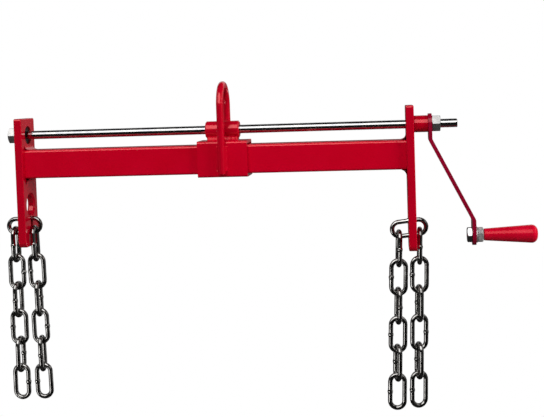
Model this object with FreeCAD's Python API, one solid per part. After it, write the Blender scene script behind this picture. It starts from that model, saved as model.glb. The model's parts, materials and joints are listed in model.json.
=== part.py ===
import FreeCAD, Part
import math
import os

# Engine load leveler: a square beam hangs in a sliding sleeve under a lifting loop.
# A cranked lead screw through the end plates moves the beam along the sleeve.
# Each end plate holds a chain with two strands. Sizes are in millimetres.
# X runs along the beam to the crank, Y away from the viewer, Z up.
# The origin is the inside of the lifting loop's crown.

# clearances
gap = 0.3
screw_clearance = 0.05
bush_clearance = 0.08
spindle_clearance = 0.05
sleeve_side_gap = 1.0

# beam tube
tube_width = 40.0
tube_wall = 3.0
tube_corner = 3.5
tube_length = 535.0
slider_offset = 16.0
weld_along = 7.0
weld_over = 6.2
weld_under = 10.5
weld_side = 6.4
weld_toe = 0.3

# slider: sleeve, lifting loop and lead nut
sleeve_wall = 4.0
sleeve_length = 69.5
sleeve_corner = 3.5
loop_bar = 10.0
loop_height = 72.3
loop_foot = 5.0
screw_height = 15.0
nut_diameter = 24.0
nut_length = 47.2
nut_shift = 1.5
nut_edge = 1.5
nut_weld_width = 22.0
nut_weld_rise = 4.0
nut_weld_lean = 2.8
nut_weld_inset = 2.0
loop_weld_reach = 8.5
loop_weld_height = 3.6
loop_weld_inset = 3.0
loop_weld_bite = 0.6

# end plates
plate_margin = 7.0
plate_thickness = 11.0
left_plate_above = 24.0
right_plate_above = 26.0
left_plate_below = 158.5
right_plate_below = 172.0
plate_top_corner = 3.0
plate_foot_corner = 8.0
plate_edge = 1.5
keyhole_diameter = 30.0
keyhole_chamfer = 2.6
keyhole_slot = 8.4
keyhole_foot = 15.6
keyhole_rise = 43.1

# bushes for the screw
bush_diameter = 26.0
bush_recess = 2.5

# lead screw, washer and nuts
screw_diameter = 12.0
screw_stub = 22.8
screw_edge = 1.0
end_washer_diameter = 24.0
end_washer_thickness = 2.0
end_nut_width = 21.0
end_nut_height = 13.0
end_stub = 1.5
crank_nut_width = 21.0
crank_nut_height = 11.6

# crank
hub_diameter = 23.0
hub_length = 19.1
hub_edge = 0.8
arm_width = 28.0
arm_thickness = 5.0
arm_throw = 153.5
arm_offset = 55.8
arm_upper_straight = 21.5
arm_lower_straight = 21.0
arm_bend = 6.0
arm_end_corner = 13.5
grip_bolt_diameter = 12.0
grip_head_width = 19.0
grip_head_height = 6.8
grip_washer_diameter = 22.0
grip_washer_thickness = 2.0
grip_nut_width = 19.0
grip_nut_height = 7.9
grip_nut_turn = -16.0

# grip
grip_length = 72.0
grip_small = 16.2
grip_large = 25.8
grip_round = 8.0
grip_edge = 1.5
grip_start = 0.5
spindle_diameter = 9.0
spindle_length = 58.0
ring_thickness = 1.5
ring_height = 1.2
ring_from_end = 6.0

# chains
link_wire = 6.4
link_inner = 40.2
link_width = 26.2
links_per_strand = 6
strand_spacing = 14.2
left_middle_shift = 4.8
right_middle_shift = 3.3
first_gap = 0.45

# how the chains hang, in degrees: the tilt of each middle link and the lean of each strand
left_link_tilt = 2.0
right_link_tilt = 6.5
left_a_lean = 0.0
left_b_lean = 1.2
right_a_lean = -2.1
right_b_lean = -1.7

os.makedirs("parts", exist_ok=True)
V = FreeCAD.Vector

sleeve_inner = tube_width + 2 * sleeve_side_gap
sleeve_width = sleeve_inner + 2 * sleeve_wall
sleeve_top = -loop_height
sleeve_middle = sleeve_top - sleeve_width / 2
sleeve_bottom = sleeve_top - sleeve_width
tube_middle = sleeve_bottom + sleeve_wall + gap + tube_width / 2
screw_z = sleeve_top + screw_height
plate_width = tube_width + 2 * plate_margin
tube_left = -slider_offset - tube_length / 2
tube_right = -slider_offset + tube_length / 2


def export(shape, name):
    """Writes one solid to its STEP file."""
    shape.exportStep("parts/" + name + ".step")


def box(x0, x1, y0, y1, z0, z1):
    """A box between two corners."""
    return Part.makeBox(x1 - x0, y1 - y0, z1 - z0, V(x0, y0, z0))


def rod_x(diameter, x0, x1, y, z):
    """A round bar along X."""
    return Part.makeCylinder(diameter / 2, x1 - x0, V(x0, y, z), V(1, 0, 0))


def rounded_section(x, width, height, z_middle, corner):
    """A closed wire in a plane across X: a rectangle with rounded corners, centred on y = 0."""
    w = width / 2
    h = height / 2
    k = corner * (1 - math.sqrt(0.5))
    points = [(w, h), (-w, h), (-w, -h), (w, -h)]
    edges = []
    for i in range(4):
        y, z = points[i]
        ny, nz = points[(i + 1) % 4]
        sy = 1 if y > 0 else -1
        sz = 1 if z > 0 else -1
        on_side = V(x, y, z_middle + z - sz * corner)
        on_top = V(x, y - sy * corner, z_middle + z)
        mid = V(x, y - sy * k, z_middle + z - sz * k)
        first, last = (on_side, on_top) if i % 2 == 0 else (on_top, on_side)
        edges.append(Part.Arc(first, mid, last).toShape())
        my = 1 if ny > 0 else -1
        mz = 1 if nz > 0 else -1
        if i % 2 == 0:
            nxt = V(x, ny - my * corner, z_middle + nz)
        else:
            nxt = V(x, ny, z_middle + nz - mz * corner)
        edges.append(Part.makeLine(last, nxt))
    return Part.Wire(edges)


def rounded_prism(x0, x1, width, z_middle, corner):
    """A square bar along X with rounded corners."""
    face = Part.Face(rounded_section(x0, width, width, z_middle, corner))
    return face.extrude(V(x1 - x0, 0, 0))


def hex_x(across_flats, x0, x1, y, z, turn=0.0):
    """A hexagon bar along X with chamfered ends, its front corner turned from the viewer by an angle."""
    r = across_flats / math.sqrt(3)
    points = []
    for i in range(7):
        a = math.radians(60 * i + turn)
        points.append(V(x0, y + r * math.cos(a), z + r * math.sin(a)))
    prism = Part.Face(Part.makePolygon(points)).extrude(V(x1 - x0, 0, 0))
    flat = 0.475 * across_flats
    rise = (r - flat) * math.tan(math.radians(30))
    middle = rod_x(2 * r, x0 + rise, x1 - rise, y, z)
    low = Part.makeCone(flat, r, rise, V(x0, y, z), V(1, 0, 0))
    high = Part.makeCone(r, flat, rise, V(x1 - rise, y, z), V(1, 0, 0))
    return prism.common(middle.fuse(low).fuse(high).removeSplitter())


def link_shape(centre, across, along):
    """An oval ring of round wire: two straight sides and two half-ring ends."""
    wire = link_wire / 2
    bend = (link_width - link_wire) / 2
    straight = link_inner + link_wire - 2 * bend
    normal = across.cross(along)
    pieces = []
    for side in (1, -1):
        start = centre + across * (side * bend) - along * (straight / 2)
        pieces.append(Part.makeCylinder(wire, straight, start, along))
        middle = centre + along * (side * straight / 2)
        ring = Part.makeCircle(wire, middle + across * bend, along)
        face = Part.Face(Part.Wire([ring]))
        pieces.append(face.revolve(middle, normal * side, 180))
    shape = pieces[0]
    for piece in pieces[1:]:
        shape = shape.fuse(piece)
    return shape.removeSplitter()


# slider sleeve: a short length of larger square tube
sleeve_x = sleeve_length / 2
sleeve = rounded_prism(-sleeve_x, sleeve_x, sleeve_width, sleeve_middle, sleeve_corner)
sleeve_bore = rounded_prism(-sleeve_x - 1, sleeve_x + 1, sleeve_inner, sleeve_middle, sleeve_corner - 2)
export(sleeve.cut(sleeve_bore), "slider_sleeve")

# lifting loop: a bent round bar whose legs run down both sides of the sleeve
leg_y = sleeve_width / 2 + loop_bar / 2
leg_low = sleeve_bottom + loop_foot
bend_z = loop_bar / 2 - leg_y
front_leg = Part.makeCylinder(loop_bar / 2, bend_z - leg_low, V(0, -leg_y, leg_low))
rear_leg = Part.makeCylinder(loop_bar / 2, bend_z - leg_low, V(0, leg_y, leg_low))
loop_section = Part.Face(Part.Wire([Part.makeCircle(loop_bar / 2, V(0, leg_y, bend_z), V(0, 0, 1))]))
loop_bend = loop_section.revolve(V(0, 0, bend_z), V(1, 0, 0), 180)
export(front_leg.fuse(rear_leg).fuse(loop_bend).removeSplitter(), "lifting_loop")

# fillet welds down both sides of each leg
bar_radius = loop_bar / 2
weld_top_x = math.sqrt(bar_radius ** 2 - (bar_radius - loop_weld_height) ** 2) - loop_weld_bite
loop_welds = []
for side_x in (1, -1):
    outline = [
        V(side_x * loop_weld_bite, sleeve_width / 2, leg_low + loop_weld_inset),
        V(side_x * loop_weld_reach, sleeve_width / 2, leg_low + loop_weld_inset),
        V(side_x * weld_top_x, sleeve_width / 2 + loop_weld_height, leg_low + loop_weld_inset),
        V(side_x * loop_weld_bite, sleeve_width / 2 + loop_weld_height, leg_low + loop_weld_inset),
    ]
    weld_length = sleeve_top - sleeve_corner - leg_low - 2 * loop_weld_inset
    prism = Part.Face(Part.makePolygon(outline + outline[:1])).extrude(V(0, 0, weld_length))
    bead = prism.cut(rear_leg)
    bead = max(bead.Solids, key=lambda s: s.Volume)
    loop_welds.append(bead)
    loop_welds.append(bead.mirror(V(0, 0, 0), V(0, 1, 0)))
names = ["loop_weld_rear_right", "loop_weld_front_right", "loop_weld_rear_left", "loop_weld_front_left"]
for bead, name in zip(loop_welds, names):
    export(bead, name)

# lead nut: a round threaded bush on a weld bed on top of the sleeve
nut_x0 = -nut_shift - nut_length / 2
nut_x1 = nut_x0 + nut_length
nut = rod_x(nut_diameter, nut_x0, nut_x1, 0, screw_z)
nut = nut.makeChamfer(nut_edge, [e for e in nut.Edges if e.Curve.TypeId == "Part::GeomCircle"])
nut_bore = rod_x(screw_diameter + 2 * screw_clearance, nut_x0 - 1, nut_x1 + 1, 0, screw_z)
export(nut.cut(nut_bore), "lead_nut")
bed_x0 = nut_x0 + nut_weld_inset
bed_x1 = nut_x1 - nut_weld_inset
bed_y = nut_weld_width / 2
bed_top_y = bed_y - nut_weld_lean
bed_top = screw_z - nut_diameter / 2 + nut_weld_rise
bed_outline = [
    V(bed_x0, -bed_y, sleeve_top),
    V(bed_x0, bed_y, sleeve_top),
    V(bed_x0, bed_top_y, bed_top),
    V(bed_x0, -bed_top_y, bed_top),
]
bed = Part.Face(Part.makePolygon(bed_outline + bed_outline[:1])).extrude(V(bed_x1 - bed_x0, 0, 0))
export(bed.cut(rod_x(nut_diameter, nut_x0, nut_x1, 0, screw_z)), "nut_weld")

# beam tube
tube = rounded_prism(tube_left, tube_right, tube_width, tube_middle, tube_corner)
tube_inner = tube_width - 2 * tube_wall
tube_bore = rounded_prism(tube_left - 1, tube_right + 1, tube_inner, tube_middle, tube_corner - tube_wall)
export(tube.cut(tube_bore), "beam_tube")


def end_plate(x0, above, below):
    """A flat bar across the beam with a screw hole and a keyhole for the chain."""
    top = screw_z + above
    foot = screw_z - below
    x1 = x0 + plate_thickness
    plate = box(x0, x1, -plate_width / 2, plate_width / 2, foot, top)
    upper = []
    for edge in plate.Edges:
        a, b = [v.Point for v in edge.Vertexes]
        if abs(a.x - b.x) > 1 and a.z > screw_z:
            upper.append(edge)
    plate = plate.makeFillet(plate_top_corner, upper)
    lower = []
    for edge in plate.Edges:
        a, b = [v.Point for v in edge.Vertexes]
        if abs(a.x - b.x) > 1 and a.z < foot + 1:
            lower.append(edge)
    plate = plate.makeFillet(plate_foot_corner, lower)
    rim = []
    for edge in plate.Edges:
        a, b = [v.Point for v in edge.Vertexes]
        if abs(a.x - b.x) < 0.01:
            rim.append(edge)
    plate = plate.makeFillet(plate_edge, rim)
    plate = plate.cut(rod_x(bush_diameter, x0 - 1, x1 + 1, 0, screw_z))
    slot_z = foot + keyhole_foot + keyhole_slot / 2
    hole_z = foot + keyhole_foot + keyhole_rise
    tool = rod_x(keyhole_diameter, x0 - 1, x1 + 1, 0, hole_z)
    tool = tool.fuse(rod_x(keyhole_slot, x0 - 1, x1 + 1, 0, slot_z))
    tool = tool.fuse(box(x0 - 1, x1 + 1, -keyhole_slot / 2, keyhole_slot / 2, slot_z, hole_z))
    wide = keyhole_diameter / 2 + keyhole_chamfer
    narrow = keyhole_diameter / 2
    low_cone = Part.makeCone(wide, narrow, keyhole_chamfer, V(x0, 0, hole_z), V(1, 0, 0))
    high_cone = Part.makeCone(narrow, wide, keyhole_chamfer, V(x1 - keyhole_chamfer, 0, hole_z), V(1, 0, 0))
    return plate.cut(tool).cut(low_cone).cut(high_cone)


def weld_ring(x_plate, outward):
    """A fillet weld round the tube where it meets a plate, its leg along the tube given by its sign."""
    wide = tube_width + 2 * weld_side
    tall = tube_width + weld_over + weld_under
    toe = tube_width + 2 * weld_toe
    middle = tube_middle + (weld_over - weld_under) / 2
    big = rounded_section(x_plate, wide, tall, middle, tube_corner + weld_side)
    small = rounded_section(x_plate + outward * weld_along, toe, toe, tube_middle, tube_corner + weld_toe)
    solid = Part.makeLoft([big, small], True)
    reach = 2 * weld_along
    core = rounded_prism(x_plate - reach, x_plate + reach, tube_width, tube_middle, tube_corner)
    return solid.cut(core)


left_x = tube_left - plate_thickness
export(end_plate(left_x, left_plate_above, left_plate_below), "left_end_plate")
export(end_plate(tube_right, right_plate_above, right_plate_below), "right_end_plate")
export(weld_ring(tube_left, 1), "left_weld")
export(weld_ring(tube_right, -1), "right_weld")

# bushes in the plates, set back from the inner faces
bush_bore = rod_x(screw_diameter + 2 * bush_clearance, -tube_length, tube_length, 0, screw_z)
left_bush = rod_x(bush_diameter, left_x, tube_left - bush_recess, 0, screw_z)
export(left_bush.cut(bush_bore), "left_bush")
right_bush = rod_x(bush_diameter, tube_right + bush_recess, tube_right + plate_thickness, 0, screw_z)
export(right_bush.cut(bush_bore), "right_bush")

# lead screw and what is fixed to it
washer_x1 = left_x - gap
washer_x0 = washer_x1 - end_washer_thickness
end_nut_x0 = washer_x0 - end_nut_height
screw_left = end_nut_x0 - end_stub
hub_x0 = tube_right + plate_thickness + gap
hub_x1 = hub_x0 + hub_length
arm_x0 = hub_x1
arm_x1 = arm_x0 + arm_thickness
crank_nut_x1 = arm_x1 + crank_nut_height
screw_right = crank_nut_x1 + screw_stub
screw = rod_x(screw_diameter, screw_left, screw_right, 0, screw_z)
screw_hole = rod_x(screw_diameter, screw_left - 1, screw_right + 1, 0, screw_z)
screw_rims = [e for e in screw.Edges if e.Curve.TypeId == "Part::GeomCircle"]
export(screw.makeChamfer(screw_edge, screw_rims), "lead_screw")
export(rod_x(end_washer_diameter, washer_x0, washer_x1, 0, screw_z).cut(screw_hole), "end_washer")
export(hex_x(end_nut_width, end_nut_x0, washer_x0, 0, screw_z).cut(screw_hole), "end_nut")
export(hex_x(crank_nut_width, arm_x1, crank_nut_x1, 0, screw_z).cut(screw_hole), "crank_nut")
hub = rod_x(hub_diameter, hub_x0, hub_x1, 0, screw_z)
hub = hub.makeFillet(hub_edge, [e for e in hub.Edges if e.Curve.TypeId == "Part::GeomCircle"])
export(hub.cut(screw_hole), "crank_hub")

# crank arm: a flat strip with two bends
grip_z = screw_z - arm_throw
bend_top = screw_z - arm_upper_straight
bend_low = grip_z + arm_lower_straight
arm_top = screw_z + arm_width / 2
arm_low = grip_z - arm_width / 2
run = arm_offset
fall = bend_top - bend_low
slope = math.atan2(run, fall)
shift = arm_thickness * math.tan(slope / 2)
low_x0 = arm_x0 + arm_offset
low_x1 = low_x0 + arm_thickness
half = arm_width / 2
strip_outline = [
    V(arm_x0, -half, arm_top),
    V(arm_x1, -half, arm_top),
    V(arm_x1, -half, bend_top + shift / 2),
    V(low_x1, -half, bend_low + shift / 2),
    V(low_x1, -half, arm_low),
    V(low_x0, -half, arm_low),
    V(low_x0, -half, bend_low - shift / 2),
    V(arm_x0, -half, bend_top - shift / 2),
]
arm = Part.Face(Part.makePolygon(strip_outline + strip_outline[:1])).extrude(V(0, arm_width, 0))


def bend_edges(shape, x, z):
    """The edge along Y nearest to a point of the strip's profile."""
    along_y = [e for e in shape.Edges if abs(e.Vertexes[0].Point.y - e.Vertexes[-1].Point.y) > 1]
    return min(along_y, key=lambda e: abs(e.CenterOfMass.x - x) + abs(e.CenterOfMass.z - z))


for point, radius in (
    (strip_outline[2], arm_bend),
    (strip_outline[3], arm_bend + arm_thickness),
    (strip_outline[6], arm_bend),
    (strip_outline[7], arm_bend + arm_thickness),
):
    arm = arm.makeFillet(radius, [bend_edges(arm, point.x, point.z)])
corners = []
for edge in arm.Edges:
    a = edge.Vertexes[0].Point
    b = edge.Vertexes[-1].Point
    if abs(a.z - b.z) < 0.01 and abs(a.y - b.y) < 0.01 and abs(a.x - b.x) > 1:
        corners.append(edge)
arm = arm.makeFillet(arm_end_corner, corners)
arm_pin_hole = rod_x(grip_bolt_diameter, low_x0 - 1, low_x1 + 1, 0, grip_z)
export(arm.cut(screw_hole).cut(arm_pin_hole), "crank_arm")

# grip bolt with its head inside the arm, a washer and a nut outside, and a thinner spindle
washer_out = low_x1 + grip_washer_thickness
grip_nut_x1 = washer_out + grip_nut_height
grip_x0 = grip_nut_x1 + grip_start
spindle_end = grip_x0 + spindle_length
bolt = hex_x(grip_head_width, low_x0 - grip_head_height, low_x0, 0, grip_z)
bolt = bolt.fuse(rod_x(grip_bolt_diameter, low_x0, grip_nut_x1, 0, grip_z))
bolt = bolt.fuse(rod_x(spindle_diameter, grip_nut_x1, spindle_end, 0, grip_z))
export(bolt.removeSplitter(), "grip_bolt")
bolt_hole = rod_x(grip_bolt_diameter, low_x0, grip_nut_x1 + 1, 0, grip_z)
export(rod_x(grip_washer_diameter, low_x1, washer_out, 0, grip_z).cut(bolt_hole), "grip_washer")
grip_nut = hex_x(grip_nut_width, washer_out, grip_nut_x1, 0, grip_z, grip_nut_turn)
export(grip_nut.cut(bolt_hole), "grip_nut")
ring_x1 = spindle_end - ring_from_end
ring_x0 = ring_x1 - ring_thickness
ring = rod_x(spindle_diameter + 2 * ring_height, ring_x0, ring_x1, 0, grip_z)
export(ring.cut(rod_x(spindle_diameter, ring_x0 - 1, ring_x1 + 1, 0, grip_z)), "grip_snap_ring")

# grip: a tapered handle with a rounded end, free to turn on the spindle
grip_x1 = grip_x0 + grip_length
grip = Part.makeCone(grip_small / 2, grip_large / 2, grip_length, V(grip_x0, 0, grip_z), V(1, 0, 0))
big_rim = [e for e in grip.Edges if e.Curve.TypeId == "Part::GeomCircle" and e.CenterOfMass.x > grip_x1 - 1]
grip = grip.makeFillet(grip_round, big_rim)
small_rim = [e for e in grip.Edges if e.Curve.TypeId == "Part::GeomCircle" and e.CenterOfMass.x < grip_x0 + 1]
grip = grip.makeFillet(grip_edge, small_rim)
grip = grip.cut(rod_x(spindle_diameter + 2 * spindle_clearance, grip_x0 - 1, spindle_end + gap, 0, grip_z))
groove = rod_x(spindle_diameter + 2 * ring_height + 2 * gap, ring_x0 - gap, ring_x1 + gap, 0, grip_z)
export(grip.cut(groove), "grip")

# chains: a middle link through each keyhole slot and two strands hanging on it
link_bend = (link_width - link_wire) / 2
link_step = link_inner - gap


def hang_chain(side, plate_x, below, shift, tilt, leans):
    """One chain: its middle link lies tilted in the slot, and each strand hangs on it at its own lean."""
    tilt = math.radians(tilt)
    along = V(math.cos(tilt), 0, math.sin(tilt))
    above = V(-math.sin(tilt), 0, math.cos(tilt))
    slot_foot = screw_z - below + keyhole_foot
    rise = link_wire / 2 / math.cos(tilt) + plate_thickness / 2 * math.tan(abs(tilt))
    bar = V(plate_x + plate_thickness / 2, 0, slot_foot + gap + rise) - along * shift
    export(link_shape(bar + above * link_bend, above, along), side + "_chain_middle_link")
    for strand, sign, lean in zip(("a", "b"), (-1, 1), leans):
        lean = math.radians(lean)
        upward = V(-math.sin(lean), 0, math.cos(lean))
        across = V(math.cos(lean), 0, math.sin(lean))
        centre = bar + along * (sign * strand_spacing) + above * (link_wire + first_gap)
        centre = centre - upward * ((link_inner + link_wire) / 2)
        for number in range(1, links_per_strand + 1):
            direction = V(0, 1, 0) if number % 2 == 1 else across
            export(link_shape(centre, direction, upward), side + "_chain_" + strand + "_link_" + str(number))
            centre = centre - upward * link_step


left_leans = (left_a_lean, left_b_lean)
right_leans = (right_a_lean, right_b_lean)
hang_chain("left", left_x, left_plate_below, left_middle_shift, left_link_tilt, left_leans)
hang_chain("right", tube_right, right_plate_below, right_middle_shift, right_link_tilt, right_leans)
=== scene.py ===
import bpy
import json
import math
from mathutils import Matrix, Vector


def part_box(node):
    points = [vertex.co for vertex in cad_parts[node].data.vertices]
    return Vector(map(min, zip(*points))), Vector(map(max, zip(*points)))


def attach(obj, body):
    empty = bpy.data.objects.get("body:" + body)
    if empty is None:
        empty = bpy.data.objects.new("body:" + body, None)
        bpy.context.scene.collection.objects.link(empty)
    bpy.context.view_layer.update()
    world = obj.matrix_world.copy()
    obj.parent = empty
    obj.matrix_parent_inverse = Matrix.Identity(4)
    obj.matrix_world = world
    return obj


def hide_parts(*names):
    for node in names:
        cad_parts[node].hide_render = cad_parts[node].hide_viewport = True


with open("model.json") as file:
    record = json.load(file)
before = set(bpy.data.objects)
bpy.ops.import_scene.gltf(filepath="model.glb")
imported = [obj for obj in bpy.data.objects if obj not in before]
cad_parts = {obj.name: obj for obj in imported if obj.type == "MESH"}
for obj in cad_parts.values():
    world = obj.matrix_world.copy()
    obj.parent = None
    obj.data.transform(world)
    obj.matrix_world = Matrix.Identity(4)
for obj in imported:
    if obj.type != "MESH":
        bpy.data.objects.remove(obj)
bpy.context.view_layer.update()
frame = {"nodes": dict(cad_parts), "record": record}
nodes = frame["nodes"]
scene = bpy.context.scene
scene.view_settings.view_transform = "Standard"

# lengths are in metres
# lead screw's thread, and the corner of the beam tube
thread_pitch = 0.00175
thread_depth = 0.0005
thread_land = 0.00115
thread_flank = 0.00018
thread_sides = 20
screw_chamfer = 0.001
tube_corner = 0.0035

# ring welds and the welds of the nut and the loop
weld_step = 0.0011
weld_ripple = 0.965
weld_sunk = 0.0006
weld_toe = 0.0002
weld_corner_steps = 6
weld_growth_steps = 4
dab_steps = 5
dab_swell = 0.035
nut_weld_hollow_out = 0.0006
nut_weld_hollow_up = 0.0012
nut_weld_end_width = 0.8
nut_weld_end_height = 0.75
leg_weld_height = 0.0036
leg_weld_root = 0.0008
leg_weld_sunk = 0.0005
leg_weld_toe = 0.0003
leg_weld_hollow = 0.0009
leg_weld_back = 0.7
leg_weld_end = 0.6

# chain links: sides of the wire, steps round each bend, and the collar of the weld
wire_sides = 20
link_bend_steps = 14
collar_swell = 1.2
collar_steps = [(0.0006, 1.0), (0.0011, 0.87), (0.001, 0.965), (0.0016, 0.9926)]
# reach of the brighter colour round each link's weld: the weld's own tint with a painted glint
weld_tint_and_glint_reach = 0.0065

# limits for merging and finding points
merge_distance = 0.000005
thread_merge_distance = 0.000002
end_tolerance = 0.000001

# the picture in pixels and the camera's sensor in millimetres
image_width = 544
image_height = 417
sensor_width = 36

# each link's twist in degrees, and the side of its weld: l for left or front, r for right or rear
link_twists = {
    "left_a": (-2, -3, -7, 2, -4, -2),
    "left_b": (3, 2, 4, -2, 4, 3),
    "right_a": (8, 6, 13, 8, 18, 3),
    "right_b": (2, 5, 15, 18, 17, 20),
}
weld_sides = {"left_a": "lrllrr", "left_b": "llrrll", "right_a": "llllrl", "right_b": "llrrrl"}


def clear_selection():
    """Leaves edit mode and deselects every object."""
    if bpy.context.mode != "OBJECT":
        bpy.ops.object.mode_set(mode="OBJECT")
    bpy.ops.object.select_all(action="DESELECT")


def start_shape(name):
    """A new mesh object at the origin, in edit mode, with one vertex there selected."""
    clear_selection()
    bpy.ops.mesh.primitive_plane_add(size=0.001, location=(0, 0, 0))
    piece = bpy.context.object
    piece.name = name
    piece.data.name = name
    bpy.ops.object.mode_set(mode="EDIT")
    bpy.ops.mesh.select_all(action="SELECT")
    bpy.ops.mesh.merge(type="CENTER")
    return piece


def draw_outline(points, closed):
    """Carries the selected vertex at the origin along the points, and selects the whole outline."""
    bpy.ops.transform.translate(value=points[0])
    for here, there in zip(points, points[1:]):
        step = Vector(there) - Vector(here)
        bpy.ops.mesh.extrude_region_move(TRANSFORM_OT_translate={"value": step})
    bpy.ops.mesh.select_all(action="SELECT")
    if closed:
        bpy.ops.mesh.edge_face_add()
        bpy.ops.mesh.delete(type="ONLY_FACE")
        bpy.ops.mesh.select_all(action="SELECT")


def push(step):
    """Extrudes the selected outline by one step."""
    bpy.ops.mesh.extrude_region_move(TRANSFORM_OT_translate={"value": step})


def swell(factor, centre):
    """Scales the selected outline about a point."""
    bpy.ops.transform.resize(value=(factor, factor, factor), center_override=centre)


def close_shape(piece, smooth_angle):
    """Merges doubles, turns the faces outwards and shades the piece."""
    bpy.ops.mesh.select_all(action="SELECT")
    bpy.ops.mesh.remove_doubles(threshold=merge_distance)
    bpy.ops.mesh.normals_make_consistent(inside=False)
    bpy.ops.object.mode_set(mode="OBJECT")
    bpy.ops.object.shade_smooth_by_angle(angle=math.radians(smooth_angle))


def cut_lead_screw():
    """The lead screw with its right-hand thread, cut to length and chamfered at both ends."""
    low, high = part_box("lead_screw")
    axis_z = (low.z + high.z) / 2
    crest = (high.z - low.z) / 2
    root = crest - thread_depth
    groove = thread_pitch - thread_land - 2 * thread_flank
    turns = int((high.x - low.x) / thread_pitch) + 4
    start = low.x - 2 * thread_pitch
    screw = start_shape("lead_screw_thread")
    x1 = start + thread_flank
    x2 = x1 + thread_land
    x3 = x2 + thread_flank
    profile = [(start, 0, root), (x1, 0, crest), (x2, 0, crest), (x3, 0, root), (x3 + groove, 0, root)]
    draw_outline(profile, False)
    bpy.ops.object.mode_set(mode="OBJECT")
    winding = screw.modifiers.new("thread", "SCREW")
    winding.axis = "X"
    winding.angle = 2 * math.pi
    winding.screw_offset = thread_pitch
    winding.iterations = turns
    winding.steps = thread_sides
    winding.render_steps = thread_sides
    winding.use_merge_vertices = True
    winding.merge_threshold = thread_merge_distance
    bpy.ops.object.modifier_apply(modifier=winding.name)
    bpy.ops.object.mode_set(mode="EDIT")
    for end_x, outward in ((low.x, -1), (high.x, 1)):
        bpy.ops.mesh.select_all(action="SELECT")
        bpy.ops.mesh.bisect(
            plane_co=(end_x, 0, 0), plane_no=(outward, 0, 0), use_fill=True, clear_outer=True
        )
    bpy.ops.mesh.select_all(action="SELECT")
    bpy.ops.transform.translate(value=(0, 0, axis_z))
    share = 1 - screw_chamfer / crest
    for end_x in (low.x, high.x):
        bpy.ops.mesh.select_all(action="DESELECT")
        bpy.ops.object.mode_set(mode="OBJECT")
        for vertex in screw.data.vertices:
            vertex.select = abs(vertex.co.x - end_x) < end_tolerance
        bpy.ops.object.mode_set(mode="EDIT")
        bpy.ops.transform.resize(
            value=(1, share, share),
            center_override=(end_x, 0, axis_z),
            use_proportional_edit=True,
            proportional_edit_falloff="LINEAR",
            proportional_size=screw_chamfer,
        )
    close_shape(screw, 40)
    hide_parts("lead_screw")
    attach(screw, "crank")
    return screw


def forge_link():
    """One chain link at the origin, standing along Z, with the collar of its weld on its +X side."""
    low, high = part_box("left_chain_a_link_2")
    length = high.z - low.z
    width = high.x - low.x
    wire = (high.y - low.y) / 2
    bend = width / 2 - wire
    straight = length - width
    clear_selection()
    bpy.ops.mesh.primitive_circle_add(
        vertices=wire_sides, radius=wire * collar_swell, location=(bend, 0, 0)
    )
    link = bpy.context.object
    bpy.ops.object.transform_apply(location=True, rotation=True, scale=True)
    bpy.ops.object.mode_set(mode="EDIT")
    bpy.ops.mesh.select_all(action="SELECT")
    height = 0
    for rise, factor in collar_steps:
        push((0, 0, rise))
        height += rise
        swell(factor, (bend, 0, height))
    half = straight / 2
    push((0, 0, half - height))
    bpy.ops.mesh.spin(steps=link_bend_steps, angle=math.pi, center=(0, 0, half), axis=(0, 1, 0))
    push((0, 0, -half))
    push((0, 0, -half))
    bpy.ops.mesh.spin(steps=link_bend_steps, angle=math.pi, center=(0, 0, -half), axis=(0, 1, 0))
    push((0, 0, half - height))
    for rise, factor in reversed(collar_steps):
        swell(1 / factor, (bend, 0, -height))
        push((0, 0, rise))
        height -= rise
    close_shape(link, 60)
    # a share that fades from the weld outwards, where the chain is brightened: the weld's tint and a painted
    # glint
    tint_and_glint = link.data.attributes.new("weld_tint_and_glint", "FLOAT", "POINT")
    for vertex in link.data.vertices:
        away = (vertex.co - Vector((bend, 0, 0))).length
        tint_and_glint.data[vertex.index].value = max(0.0, 1.0 - away / weld_tint_and_glint_reach)
    return link


def middle_of(name):
    """The middle of a node's box."""
    low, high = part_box(name)
    return (low + high) / 2


def copy_link(pattern, name, turn):
    """A copy of the pattern link at a chain node, turned as given."""
    clear_selection()
    pattern.select_set(True)
    bpy.context.view_layer.objects.active = pattern
    bpy.ops.object.duplicate(linked=False)
    link = bpy.context.object
    link.name = name.replace("_link", "_forged_link")
    link.data.name = link.name
    link.matrix_world = Matrix.Translation(middle_of(name)) @ turn
    bpy.ops.object.transform_apply(location=True, rotation=True, scale=True)
    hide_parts(name)
    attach(link, name)
    return link


def hang_chain_links(pattern):
    """The links of both chains, each turned the way its node lies, with its own slight twist."""
    joints = frame["record"]["behaviour"]["joints"]
    axes = {joint["name"]: joint.get("axis") for joint in joints}
    links = []
    for side in ("left", "right"):
        axis = axes[side + "_middle_link_slide"]
        level = Matrix.Rotation(math.atan2(axis[0], axis[2]) + math.pi, 4, "Y")
        links.append(copy_link(pattern, side + "_chain_middle_link", level))
        for strand in ("a", "b"):
            names = [side + "_chain_" + strand + "_link_" + str(number) for number in range(1, 7)]
            fall = middle_of(names[0]) - middle_of(names[-1])
            lean = Matrix.Rotation(math.atan2(fall.x, fall.z), 4, "Y")
            for number, name in enumerate(names):
                angle = 90 * (1 - number % 2) + link_twists[side + "_" + strand][number]
                if weld_sides[side + "_" + strand][number] == "l":
                    angle += 180
                twist = Matrix.Rotation(math.radians(angle), 4, "Z")
                links.append(copy_link(pattern, name, lean @ twist))
    clear_selection()
    pattern.select_set(True)
    bpy.ops.object.delete()
    return links


def stretch(across, up, centre):
    """Scales the selected outline in Y and in Z about a point."""
    bpy.ops.transform.resize(value=(1, across, up), center_override=centre)


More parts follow.
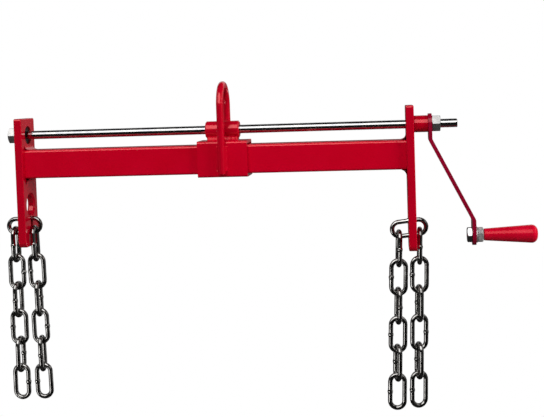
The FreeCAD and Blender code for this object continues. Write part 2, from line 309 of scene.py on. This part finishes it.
def lay_ring_weld(name, node, plate_x, outward):
    """The fillet weld round the tube at a plate: hollow, finely rippled, with its longest leg underneath."""
    low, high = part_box(node)
    tube_low, tube_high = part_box("beam_tube")
    half = (tube_high.y - tube_low.y) / 2
    middle_z = (tube_low.z + tube_high.z) / 2
    along_leg = high.x - low.x
    side_leg = high.y - half
    legs = (high.z - tube_high.z, side_leg, tube_low.z - low.z, side_leg)
    profile = [(-weld_sunk, -weld_sunk), (along_leg, -weld_sunk), (along_leg, weld_toe)]
    for turn in (15, 30, 45, 60, 75):
        along = along_leg * (1 - math.sin(math.radians(turn)))
        up = side_leg * (1 - math.cos(math.radians(turn)))
        profile.append((along + weld_toe, up + weld_toe))
    profile.append((weld_toe, side_leg))
    profile.append((-weld_sunk, side_leg))
    start_y = tube_corner - half
    points = [(plate_x + outward * along, start_y, middle_z + half + up) for along, up in profile]
    weld = start_shape(name)
    draw_outline(points, True)
    run = 2 * (half - tube_corner)
    count = 2 * int(run / weld_step / 2)
    heading = Vector((0, 1, 0))
    lift = Vector((0, 0, 1))
    centre = Vector((plate_x, 0, middle_z))
    for side in range(4):
        root = centre + lift * half - heading * (run / 2)
        part = (legs[side] / legs[side - 1]) ** (1 / weld_growth_steps)
        for step in range(count):
            push(heading * (run / count))
            root = root + heading * (run / count)
            swell(weld_ripple if step % 2 == 0 else 1 / weld_ripple, root)
            if step < weld_growth_steps:
                stretch(part if lift.y else 1, part if lift.z else 1, root)
        pivot = root - lift * tube_corner
        bpy.ops.mesh.spin(steps=weld_corner_steps, angle=math.pi / 2, center=pivot, axis=(-1, 0, 0))
        heading, lift = -lift, heading
    close_shape(weld, 50)
    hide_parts(node)
    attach(weld, "beam")
    return weld


def lay_nut_weld():
    """The weld under the lead nut: a hollow fillet along both sides, laid in dabs."""
    low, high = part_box("nut_weld")
    nut_low, nut_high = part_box("lead_nut")
    radius = (nut_high.y - nut_low.y) / 2
    axis_z = (nut_low.z + nut_high.z) / 2
    foot = high.y
    top = high.z
    meet = math.sqrt(radius ** 2 - (axis_z - top) ** 2)
    hollow_y = meet + nut_weld_hollow_out
    hollow_z = low.z + nut_weld_hollow_up
    flank = [(foot, low.z - weld_sunk), (foot, low.z + weld_toe)]
    for share in (0.2, 0.4, 0.6, 0.8):
        rest = 1 - share
        across = rest ** 2 * foot + 2 * rest * share * hollow_y + share ** 2 * meet
        height = rest ** 2 * (low.z + weld_toe) + 2 * rest * share * hollow_z + share ** 2 * top
        flank.append((across, height))
    flank.append((meet + weld_toe, top - weld_toe))
    flank.append((meet - weld_sunk, top))
    points = [(low.x, across, height) for across, height in flank]
    points += [(low.x, -across, height) for across, height in reversed(flank)]
    weld = start_shape("nut_weld_bead")
    draw_outline(points, True)
    count = int((high.x - low.x) / weld_step)
    step = (high.x - low.x) / count
    root = Vector((low.x, 0, low.z))
    stretch(nut_weld_end_width, nut_weld_end_height, root)
    bpy.ops.mesh.edge_face_add()
    bulge = 1.0
    for number in range(count):
        push((step, 0, 0))
        root.x += step
        if number == 0:
            stretch(1 / nut_weld_end_width, 1 / nut_weld_end_height, root)
        elif number == count - 1:
            stretch(nut_weld_end_width / bulge, nut_weld_end_height, root)
        else:
            wanted = 1 + dab_swell * math.sin(2 * math.pi * number / dab_steps)
            stretch(wanted / bulge, 1, root)
            bulge = wanted
    close_shape(weld, 50)
    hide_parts("nut_weld")
    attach(weld, "slider")
    return weld


def lay_leg_weld(name, node):
    """The weld down one side of a loop leg, rippled, and drawn in at both ends."""
    low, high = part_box(node)
    loop_low, loop_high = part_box("lifting_loop")
    bar = (loop_high.x - loop_low.x) / 2
    side = 1 if low.x + high.x > 0 else -1
    face = 1 if low.y + high.y > 0 else -1
    sleeve_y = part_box("slider_sleeve")[1].y
    foot = max(abs(low.x), abs(high.x))
    tall = leg_weld_height
    meet = math.sqrt(bar ** 2 - (bar - tall) ** 2)
    reach = meet - leg_weld_toe
    profile = [(leg_weld_root, -leg_weld_sunk), (foot, -leg_weld_sunk), (foot, leg_weld_toe)]
    for share in (0.25, 0.5, 0.75):
        across = foot + (reach - foot) * share
        hollow = leg_weld_hollow * math.sin(math.pi * share)
        rise = leg_weld_toe + (tall - leg_weld_toe) * share - hollow
        profile.append((across, rise))
    profile.append((reach, tall))
    profile.append((leg_weld_root, tall * leg_weld_back))
    points = [(side * across, face * (sleeve_y + rise), low.z) for across, rise in profile]
    weld = start_shape(name)
    draw_outline(points, True)
    count = 2 * int((high.z - low.z) / weld_step / 2)
    step = (high.z - low.z) / count
    root = Vector((side * meet, face * sleeve_y, low.z))
    swell(leg_weld_end, root)
    bpy.ops.mesh.edge_face_add()
    for number in range(count):
        push((0, 0, step))
        root.z += step
        if number == 0:
            swell(1 / leg_weld_end, root)
        elif number == count - 1:
            swell(leg_weld_end, root)
        else:
            swell(weld_ripple if number % 2 else 1 / weld_ripple, root)
    close_shape(weld, 50)
    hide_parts(node)
    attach(weld, "slider")
    return weld


def new_finish(name):
    """A new node material and its shader."""
    finish = bpy.data.materials.new(name)
    finish.use_nodes = True
    tree = finish.node_tree
    return finish, tree, tree.nodes["Principled BSDF"]


def grain(tree, scale, detail, stretch):
    """A noise on Object coordinates, stretched along the axes."""
    place = tree.nodes.new("ShaderNodeTexCoord")
    shape = tree.nodes.new("ShaderNodeMapping")
    shape.inputs["Scale"].default_value = stretch
    noise = tree.nodes.new("ShaderNodeTexNoise")
    noise.inputs["Scale"].default_value = scale
    noise.inputs["Detail"].default_value = detail
    tree.links.new(place.outputs["Object"], shape.inputs["Vector"])
    tree.links.new(shape.outputs["Vector"], noise.inputs["Vector"])
    return noise.outputs["Fac"]


def tones(tree, source, stops):
    """A colour ramp over a noise."""
    ramp = tree.nodes.new("ShaderNodeValToRGB")
    while len(ramp.color_ramp.elements) < len(stops):
        ramp.color_ramp.elements.new(0.5)
    for element, (place, colour) in zip(ramp.color_ramp.elements, stops):
        element.position = place
        element.color = (*colour, 1)
    tree.links.new(source, ramp.inputs["Fac"])
    return ramp.outputs["Color"]


def span(tree, source, low, high):
    """A noise carried from its usual range to a range of values."""
    limits = tree.nodes.new("ShaderNodeMapRange")
    limits.inputs["From Min"].default_value = 0.3
    limits.inputs["From Max"].default_value = 0.7
    limits.inputs["To Min"].default_value = low
    limits.inputs["To Max"].default_value = high
    tree.links.new(source, limits.inputs["Value"])
    return limits.outputs["Result"]


def relief(tree, shader, heights):
    """Bumps laid one over the other on the shader's normal."""
    normal = None
    for source, strength, distance in heights:
        bump = tree.nodes.new("ShaderNodeBump")
        bump.inputs["Strength"].default_value = strength
        bump.inputs["Distance"].default_value = distance
        tree.links.new(source, bump.inputs["Height"])
        if normal is not None:
            tree.links.new(normal, bump.inputs["Normal"])
        normal = bump.outputs["Normal"]
    tree.links.new(normal, shader.inputs["Normal"])


def red_enamel(name, red):
    """Sprayed gloss enamel: slight orange peel and a faint drift of tone."""
    finish, tree, shader = new_finish(name)
    drift = grain(tree, 26, 3, (1, 1, 1))
    stops = [(0.3, (red, 0.0, red * 0.025)), (0.7, (red * 1.06, 0.0, red * 0.032))]
    tree.links.new(tones(tree, drift, stops), shader.inputs["Base Color"])
    haze = grain(tree, 60, 4, (1, 1, 1))
    tree.links.new(span(tree, haze, 0.09, 0.15), shader.inputs["Roughness"])
    peel = grain(tree, 650, 2, (1, 1, 1))
    sag = grain(tree, 70, 2, (1, 1, 1))
    relief(tree, shader, [(sag, 0.05, 0.002), (peel, 0.06, 0.0004)])
    shader.inputs["IOR"].default_value = 1.6
    shader.inputs["Specular IOR Level"].default_value = 1.0
    shader.inputs["Specular Tint"].default_value = (1, 0.3, 0.3, 1)
    return finish


def arm_enamel():
    """The darker red of the crank arm, a little duller than the rest."""
    finish, tree, shader = new_finish("arm_enamel")
    drift = grain(tree, 40, 3, (1, 1, 1))
    stops = [(0.3, (0.17, 0.001, 0.013)), (0.7, (0.23, 0.002, 0.019))]
    tree.links.new(tones(tree, drift, stops), shader.inputs["Base Color"])
    haze = grain(tree, 90, 4, (1, 1, 1))
    tree.links.new(span(tree, haze, 0.14, 0.24), shader.inputs["Roughness"])
    peel = grain(tree, 650, 2, (1, 1, 1))
    relief(tree, shader, [(peel, 0.06, 0.0004)])
    shader.inputs["Specular Tint"].default_value = (1, 0.5, 0.5, 1)
    return finish


def weld_enamel():
    """The enamel over a weld, a little darker than the red round it, with the bead's fine unevenness."""
    finish, tree, shader = new_finish("weld_enamel")
    drift = grain(tree, 90, 3, (1, 1, 1))
    stops = [(0.3, (0.4, 0.0, 0.010)), (0.7, (0.46, 0.0, 0.014))]
    tree.links.new(tones(tree, drift, stops), shader.inputs["Base Color"])
    haze = grain(tree, 160, 3, (1, 1, 1))
    tree.links.new(span(tree, haze, 0.12, 0.2), shader.inputs["Roughness"])
    lumps = grain(tree, 420, 3, (1, 1, 1))
    relief(tree, shader, [(lumps, 0.12, 0.0006)])
    shader.inputs["IOR"].default_value = 1.6
    shader.inputs["Specular IOR Level"].default_value = 0.45
    shader.inputs["Specular Tint"].default_value = (1, 0.3, 0.3, 1)
    return finish


def bright_plate():
    """Bright zinc plate with faint clouding and fine scratches round the turned parts."""
    finish, tree, shader = new_finish("bright_plate")
    cloud = grain(tree, 85, 4, (1, 1, 1))
    stops = [(0.3, (0.4, 0.4, 0.42)), (0.55, (0.48, 0.48, 0.475)), (0.75, (0.53, 0.52, 0.5))]
    tree.links.new(tones(tree, cloud, stops), shader.inputs["Base Color"])
    rub = grain(tree, 240, 4, (6, 1, 1))
    tree.links.new(span(tree, rub, 0.05, 0.12), shader.inputs["Roughness"])
    scratch = grain(tree, 500, 2, (4, 1, 1))
    relief(tree, shader, [(scratch, 0.02, 0.0002)])
    shader.inputs["Metallic"].default_value = 1.0
    return finish


def dull_zinc(name, tone, smoothest, roughest, metal):
    """Zinc plate on the nuts and washers: duller, with a warm cast and wrench marks."""
    finish, tree, shader = new_finish(name)
    cloud = grain(tree, 130, 4, (1, 1, 1))
    dark = (tone * 0.74, tone * 0.72, tone * 0.7)
    light = (tone * 1.24, tone * 1.2, tone * 1.15)
    stops = [(0.3, dark), (0.55, (tone, tone * 0.985, tone * 0.97)), (0.75, light)]
    tree.links.new(tones(tree, cloud, stops), shader.inputs["Base Color"])
    rub = grain(tree, 260, 4, (1, 1, 1))
    tree.links.new(span(tree, rub, smoothest, roughest), shader.inputs["Roughness"])
    marks = grain(tree, 420, 3, (3, 1, 1))
    relief(tree, shader, [(marks, 0.05, 0.0003)])
    shader.inputs["Metallic"].default_value = metal
    return finish


def chain_plate():
    """Plated chain, darker in blotches, and brighter round each weld: the weld's own tint with a painted
    glint laid over it.
    """
    finish, tree, shader = new_finish("chain_plate")
    blotch = grain(tree, 150, 5, (1, 1, 1))
    stops = [(0.28, (0.15, 0.143, 0.136)), (0.5, (0.32, 0.312, 0.3)), (0.74, (0.5, 0.49, 0.475))]
    plate = tones(tree, blotch, stops)
    tint_and_glint = tree.nodes.new("ShaderNodeAttribute")
    tint_and_glint.attribute_name = "weld_tint_and_glint"
    tint_and_glint_mix = tree.nodes.new("ShaderNodeMix")
    tint_and_glint_mix.data_type = "RGBA"
    # the bright colour round the weld: partly the weld's own tint, partly a painted glint
    tint_and_glint_mix.inputs["B"].default_value = (0.86, 0.84, 0.8, 1)
    tree.links.new(tint_and_glint.outputs["Fac"], tint_and_glint_mix.inputs["Factor"])
    tree.links.new(plate, tint_and_glint_mix.inputs["A"])
    tree.links.new(tint_and_glint_mix.outputs["Result"], shader.inputs["Base Color"])
    rub = grain(tree, 210, 4, (1, 1, 1))
    tree.links.new(span(tree, rub, 0.08, 0.17), shader.inputs["Roughness"])
    pits = grain(tree, 600, 3, (1, 1, 1))
    dents = grain(tree, 150, 2, (1, 1, 1))
    relief(tree, shader, [(dents, 0.05, 0.001), (pits, 0.03, 0.0003)])
    shader.inputs["Metallic"].default_value = 1.0
    return finish


def oiled_bush():
    """Dark oiled steel of the screw's bushes, near black: partly the steel's own colour, partly painted
    shade of the plate holes they sit in.
    """
    finish, tree, shader = new_finish("oiled_bush")
    stain = grain(tree, 300, 4, (1, 1, 1))
    # near-black tones: the bush's dark steel together with the painted shade of its hole
    stops = [(0.3, (0.012, 0.010, 0.010)), (0.7, (0.05, 0.04, 0.038))]
    tree.links.new(tones(tree, stain, stops), shader.inputs["Base Color"])
    film = grain(tree, 500, 3, (1, 1, 1))
    tree.links.new(span(tree, film, 0.35, 0.6), shader.inputs["Roughness"])
    turning = grain(tree, 1500, 2, (1, 1, 1))
    relief(tree, shader, [(turning, 0.1, 0.0003)])
    shader.inputs["Metallic"].default_value = 0.7
    return finish


def moulded_grip():
    """Red moulded plastic with a fine skin and small scuffs."""
    finish, tree, shader = new_finish("moulded_grip")
    drift = grain(tree, 50, 3, (1, 1, 1))
    stops = [(0.3, (0.42, 0.0, 0.012)), (0.7, (0.49, 0.002, 0.02))]
    tree.links.new(tones(tree, drift, stops), shader.inputs["Base Color"])
    scuff = grain(tree, 120, 5, (1, 4, 4))
    tree.links.new(span(tree, scuff, 0.2, 0.25), shader.inputs["Roughness"])
    skin = grain(tree, 700, 2, (1, 1, 1))
    relief(tree, shader, [(skin, 0.015, 0.0002)])
    shader.inputs["Specular IOR Level"].default_value = 0.6
    shader.inputs["Specular Tint"].default_value = (1, 0.3, 0.3, 1)
    return finish


def dress(piece, finish):
    """Gives a piece one finish all over."""
    piece.data.materials.clear()
    piece.data.materials.append(finish)


def dress_all(screw, links, welds):
    """Gives every node and piece its finish."""
    enamel = red_enamel("red_enamel", 0.475)
    bead = weld_enamel()
    plate = bright_plate()
    chain = chain_plate()
    bush = oiled_bush()
    plastic = moulded_grip()
    by_slot = {"red_paint": enamel, "plated_steel": plate, "chain_steel": chain}
    by_slot["dark_steel"] = bush
    by_slot["grip_plastic"] = plastic
    for subpart in frame["record"]["subparts"]:
        dress(nodes[subpart["node"]], by_slot[subpart["material_slot"]])
    # a darker copy of the same red enamel for the end plates, loop, lead nut and hub: painted shade on these
    # pieces
    shaded_enamel = red_enamel("painted_shade_red_enamel", 0.39)
    for name in ("left_end_plate", "right_end_plate", "lifting_loop", "lead_nut", "crank_hub"):
        dress(nodes[name], shaded_enamel)
    dress(nodes["crank_arm"], arm_enamel())
    zinc = dull_zinc("dull_zinc", 0.36, 0.16, 0.28, 0.86)
    for name in ("end_nut", "end_washer", "crank_nut"):
        dress(nodes[name], zinc)
    worn = dull_zinc("worn_zinc", 0.52, 0.42, 0.56, 0.72)
    for name in ("grip_washer", "grip_nut"):
        dress(nodes[name], worn)
    dress(screw, plate)
    for link in links:
        dress(link, chain)
    for weld in welds:
        dress(weld, bead)


def set_camera():
    """The camera that the photograph was taken with, as its perspective tells."""
    yaw = 0.1152
    pitch = 0.0469
    roll = 0.0331
    place = (0.22634, -1.40157, -0.00975)
    focal_pixels = 1015.78
    centre_x = 269.99
    centre_y = 141.57
    ahead = Vector((-math.sin(yaw) * math.cos(pitch), math.cos(yaw) * math.cos(pitch), -math.sin(pitch)))
    right = Vector((math.cos(yaw), math.sin(yaw), 0))
    above = right.cross(ahead)
    right, above = (
        right * math.cos(roll) - above * math.sin(roll),
        right * math.sin(roll) + above * math.cos(roll),
    )
    lens = bpy.data.cameras.new("camera")
    lens.sensor_width = sensor_width
    lens.lens = focal_pixels * sensor_width / image_width
    lens.shift_x = (image_width / 2 - centre_x) / image_width
    lens.shift_y = (centre_y - image_height / 2) / image_width
    camera = bpy.data.objects.new("camera", lens)
    scene.collection.objects.link(camera)
    turn = Matrix((right, above, -ahead)).transposed().to_4x4()
    camera.matrix_world = Matrix.Translation(place) @ turn
    scene.camera = camera


def aim(thing, target):
    """Points a lamp or card at a place."""
    thing.rotation_euler = (Vector(target) - thing.location).to_track_quat("-Z", "Y").to_euler()


def soft_lamp(name, place, target, width, height, power):
    """A rectangular soft box."""
    light = bpy.data.lights.new(name, "AREA")
    light.shape = "RECTANGLE"
    light.size = width
    light.size_y = height
    light.energy = power
    lamp = bpy.data.objects.new(name, light)
    lamp.location = place
    scene.collection.objects.link(lamp)
    lamp.visible_camera = False
    lamp.visible_glossy = False
    aim(lamp, target)


def seen_directly(tree):
    """One for rays from the camera, mirrors and glass, and nought for the rest."""
    path = tree.nodes.new("ShaderNodeLightPath")
    mirror = tree.nodes.new("ShaderNodeMath")
    mirror.operation = "MAXIMUM"
    glass = tree.nodes.new("ShaderNodeMath")
    glass.operation = "MAXIMUM"
    tree.links.new(path.outputs["Is Camera Ray"], mirror.inputs[0])
    tree.links.new(path.outputs["Is Glossy Ray"], mirror.inputs[1])
    tree.links.new(mirror.outputs[0], glass.inputs[0])
    tree.links.new(path.outputs["Is Transmission Ray"], glass.inputs[1])
    return glass.outputs[0]


def studio_card(name, width, height, place, target, level):
    """A plain card that only shows in the gloss of the pieces."""
    clear_selection()
    bpy.ops.mesh.primitive_plane_add(size=1, location=place)
    card = bpy.context.object
    card.name = name
    card.scale = (width, height, 1)
    aim(card, target)
    finish = bpy.data.materials.new(name)
    finish.use_nodes = True
    shader = finish.node_tree.nodes["Principled BSDF"]
    shader.inputs["Base Color"].default_value = (0.02, 0.02, 0.02, 1)
    shader.inputs["Roughness"].default_value = 1.0
    shader.inputs["Specular IOR Level"].default_value = 0.0
    shader.inputs["Emission Color"].default_value = (1, 1, 1, 1)
    shader.inputs["Emission Strength"].default_value = level
    card.data.materials.append(finish)
    card.visible_camera = False
    card.visible_diffuse = False
    card.visible_transmission = False
    card.visible_shadow = False


def lay_floor():
    """A round pale floor that glows where it is seen directly or in gloss: less under the part, so that the
    part's shadow shows, and rising to full white towards its rim, a painted brightening.
    """
    radius = 3.2
    level = -1.6
    clear_selection()
    bpy.ops.mesh.primitive_circle_add(
        vertices=96, radius=radius, fill_type="NGON", location=(0, 0, level)
    )
    floor = bpy.context.object
    floor.name = "floor"
    finish = bpy.data.materials.new("pale_floor")
    finish.use_nodes = True
    tree = finish.node_tree
    shader = tree.nodes["Principled BSDF"]
    shader.inputs["Base Color"].default_value = (0.4, 0.4, 0.4, 1)
    shader.inputs["Roughness"].default_value = 0.9
    shader.inputs["Specular IOR Level"].default_value = 0.0
    shader.inputs["Emission Color"].default_value = (1, 1, 1, 1)
    place = tree.nodes.new("ShaderNodeTexCoord")
    reach = tree.nodes.new("ShaderNodeVectorMath")
    reach.operation = "LENGTH"
    # the glow rises from the middle to the rim: painted brightness that fades the floor into the white
    # surround
    fade = tree.nodes.new("ShaderNodeMapRange")
    fade.interpolation_type = "SMOOTHSTEP"
    fade.inputs["From Min"].default_value = 1.2
    fade.inputs["From Max"].default_value = 3.0
    fade.inputs["To Min"].default_value = 0.62
    fade.inputs["To Max"].default_value = 1.0
    strength = tree.nodes.new("ShaderNodeMath")
    strength.operation = "MULTIPLY"
    tree.links.new(place.outputs["Object"], reach.inputs[0])
    tree.links.new(reach.outputs["Value"], fade.inputs["Value"])
    tree.links.new(seen_directly(tree), strength.inputs[0])
    tree.links.new(fade.outputs["Result"], strength.inputs[1])
    tree.links.new(strength.outputs[0], shader.inputs["Emission Strength"])
    floor.data.materials.append(finish)


def whiten_surround():
    """A white surround that lights the part only a little."""
    world = bpy.data.worlds.new("studio")
    world.use_nodes = True
    scene.world = world
    tree = world.node_tree
    shown = tree.nodes["Background"]
    level = tree.nodes.new("ShaderNodeMapRange")
    level.inputs["To Min"].default_value = 0.045
    level.inputs["To Max"].default_value = 1.0
    shown.inputs["Color"].default_value = (1, 1, 1, 1)
    tree.links.new(seen_directly(tree), level.inputs["Value"])
    tree.links.new(level.outputs["Result"], shown.inputs["Strength"])


def set_lamps(centre):
    """Two soft boxes in front, and fills at the right, the back and the left."""
    soft_lamp("key_box", (-0.6, -1.8, 1.3), centre, 2.0, 1.6, 20)
    soft_lamp("front_fill", (-0.1, -1.9, 1.1), centre, 2.0, 0.9, 33)
    soft_lamp("right_fill", (2.2, -0.5, 0.5), centre, 1.6, 1.4, 66)
    soft_lamp("back_fill", (0.4, 2.2, 0.5), centre, 2.0, 1.4, 30)
    soft_lamp("left_fill", (-2.2, 0.3, 0.5), centre, 1.6, 1.4, 22)


def set_cards(centre):
    """Bright cards for the highlights, then dark ones all round that close the room."""
    studio_card("gloss_card", 2.6, 1.8, (-0.35, -1.51, 1.25), centre, 2.9)
    studio_card("back_gloss_card", 4, 1.5, (0.1, 2.7, 1.4), (0.1, 0, 1.4), 0.7)
    studio_card("left_gloss_card", 6, 1.5, (-2.7, 0, 1.3), (0, 0, 1.3), 0.5)
    studio_card("right_gloss_card", 6, 1.5, (2.7, 0, 1.3), (0, 0, 1.3), 0.6)
    studio_card("back_chain_card", 0.7, 0.9, (1.6, 1.7, -1.0), centre, 1.5)
    studio_card("chain_card", 0.7, 0.9, (-1.6, -1.7, -1.0), centre, 4.0)
    studio_card("rear_card", 1.6, 3, (1.15, 3.9, 0), (1.15, 0, 0), 0.14)
    studio_card("low_card", 8, 8, (0, 0, -1.58), (0, 0, 0), 0.005)
    studio_card("front_card", 8, 4.4, (0, -4, 0.4), (0, 0, 0.4), 0.005)
    studio_card("top_card", 8, 8, (0, 0, 2.6), (0, 0, 0), 0.01)
    studio_card("left_card", 8, 4.4, (-4, 0, 0.4), (0, 0, 0.4), 0.05)
    studio_card("right_card", 8, 4.4, (4, 0, 0.4), (0, 0, 0.4), 0.1)
    studio_card("back_card", 8, 4.4, (0, 4, 0.4), (0, 0, 0.4), 0.06)


screw = cut_lead_screw()
links = hang_chain_links(forge_link())
left_plate_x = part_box("left_weld")[0].x
right_plate_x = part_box("right_weld")[1].x
welds = [
    lay_ring_weld("left_weld_bead", "left_weld", left_plate_x, 1),
    lay_ring_weld("right_weld_bead", "right_weld", right_plate_x, -1),
]
welds.append(lay_nut_weld())
for place in ("front_left", "front_right", "rear_left", "rear_right"):
    welds.append(lay_leg_weld("leg_weld_bead_" + place, "loop_weld_" + place))
dress_all(screw, links, welds)
set_camera()
part_middle = (0, 0, -0.12)
lay_floor()
whiten_surround()
set_lamps(part_middle)
set_cards(part_middle)
clear_selection()
